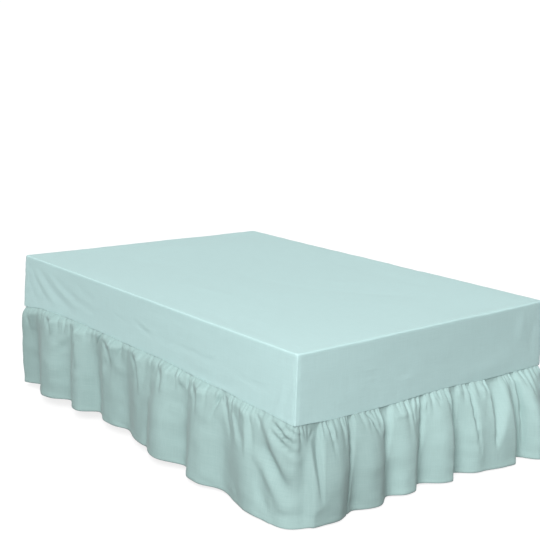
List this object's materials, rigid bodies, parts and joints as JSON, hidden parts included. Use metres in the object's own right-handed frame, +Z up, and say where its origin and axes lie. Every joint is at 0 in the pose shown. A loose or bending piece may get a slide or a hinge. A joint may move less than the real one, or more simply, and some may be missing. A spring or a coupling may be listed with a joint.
{
  "type": "fitted valance sheet on a divan bed with mattress",
  "caption": "Fitted sheet with a gathered frill to the floor on both long sides and the foot, drawn over a mattress on a plain divan base with glides.",
  "frame": {"origin": "middle of the bed on the floor, under the base's middle glide", "axes": "+Z up, +Y towards the head of the bed, +X to the right seen from the foot"},
  "size_m": [1.5471, 2.0549, 0.6333],
  "materials": {
    "sheet_cloth": "plain-woven polyester and cotton sheeting, pale duck-egg blue-green, matt",
    "frill_cloth": "the same plain-woven sheeting, gathered and hemmed, matt",
    "mattress_ticking": "plain off-white ticking, matt",
    "base_cover": "plain pale upholstery cloth, matt",
    "glide_plastic": "plain black moulded plastic, slightly worn, matt"
  },
  "bodies": {
    "root": {"fitted_top": "sheet_cloth", "frill": "frill_cloth", "mattress": "mattress_ticking", "bed_base": "base_cover", "glide_1": "glide_plastic", "glide_2": "glide_plastic", "glide_3": "glide_plastic", "glide_4": "glide_plastic", "glide_5": "glide_plastic", "glide_6": "glide_plastic", "glide_7": "glide_plastic", "glide_8": "glide_plastic", "glide_9": "glide_plastic"}
  },
  "joints": []
}
